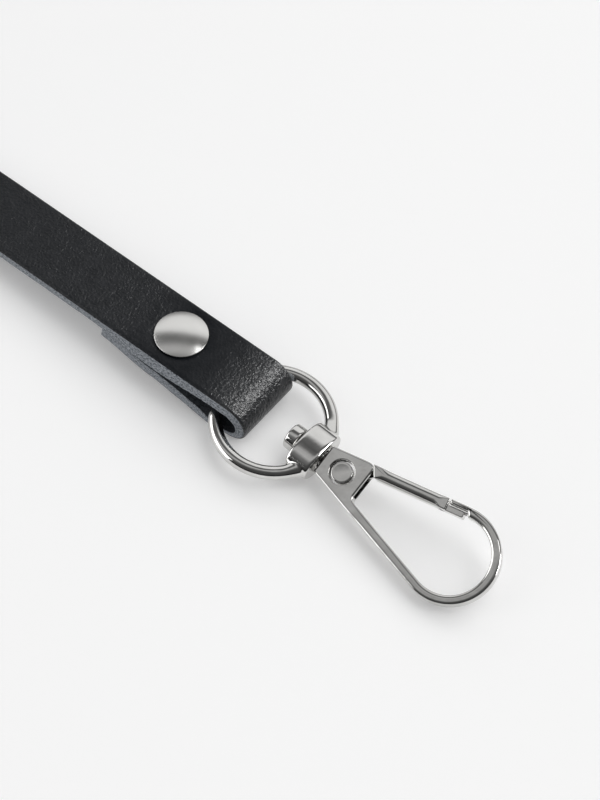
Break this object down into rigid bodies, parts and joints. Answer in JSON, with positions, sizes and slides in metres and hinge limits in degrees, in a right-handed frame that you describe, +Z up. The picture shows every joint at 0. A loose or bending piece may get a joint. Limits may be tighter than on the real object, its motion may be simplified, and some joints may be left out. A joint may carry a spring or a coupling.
{
  "type": "wristlet keychain",
  "caption": "Black leather wrist strap folded round a cast ring and riveted, with a swivelling teardrop snap hook on the ring.",
  "frame": {"origin": "middle of the bounding box in plan, on the surface the keychain lies on", "axes": "+X along the strap towards the hook, +Y towards the side of the hook's gate, +Z up"},
  "size_m": [0.2538, 0.0254, 0.045],
  "materials": {
    "leather": "fine pebbled grain, semi-matt, grey raw edges",
    "rivet_nickel": "satin nickel plate",
    "hardware_nickel": "polished nickel plate",
    "spring_steel": "bright drawn wire"
  },
  "bodies": {
    "strap": {"strap": "leather", "ring_rivet_cap": "rivet_nickel", "ring_rivet_socket": "rivet_nickel", "ring_rivet_post": "rivet_nickel", "ring_rivet_base_cap": "rivet_nickel", "loop_rivet_cap": "rivet_nickel", "loop_rivet_socket": "rivet_nickel", "loop_rivet_post": "rivet_nickel", "loop_rivet_base_cap": "rivet_nickel"},
    "ring": {"ring": "hardware_nickel"},
    "hook": {"swivel_stud": "hardware_nickel", "hook_body": "hardware_nickel", "gate_pin": "hardware_nickel", "gate_spring": "spring_steel"},
    "gate": {"gate": "hardware_nickel"}
  },
  "joints": [
    {"name": "ring_swing", "type": "hinge", "parent": "strap", "child": "ring", "pos_m": [0.06208, 0.00135, 0.0044], "axis": [0, -1, 0], "range_deg": [-8, 12]},
    {"name": "hook_swivel", "type": "hinge", "parent": "ring", "child": "hook", "pos_m": [0.08237, -0.00024, 0.00452], "axis": [0.9996, -0.0262, 0.0122], "continuous": true},
    {"name": "gate_hinge", "type": "hinge", "parent": "hook", "child": "gate", "pos_m": [0.09066, -0.00046, 0.00462], "axis": [0.0211, 0.3742, -0.9271], "range_deg": [0, 24], "stiffness_Nm_per_rad": 0.008, "springref_deg": -20.05}
  ]
}
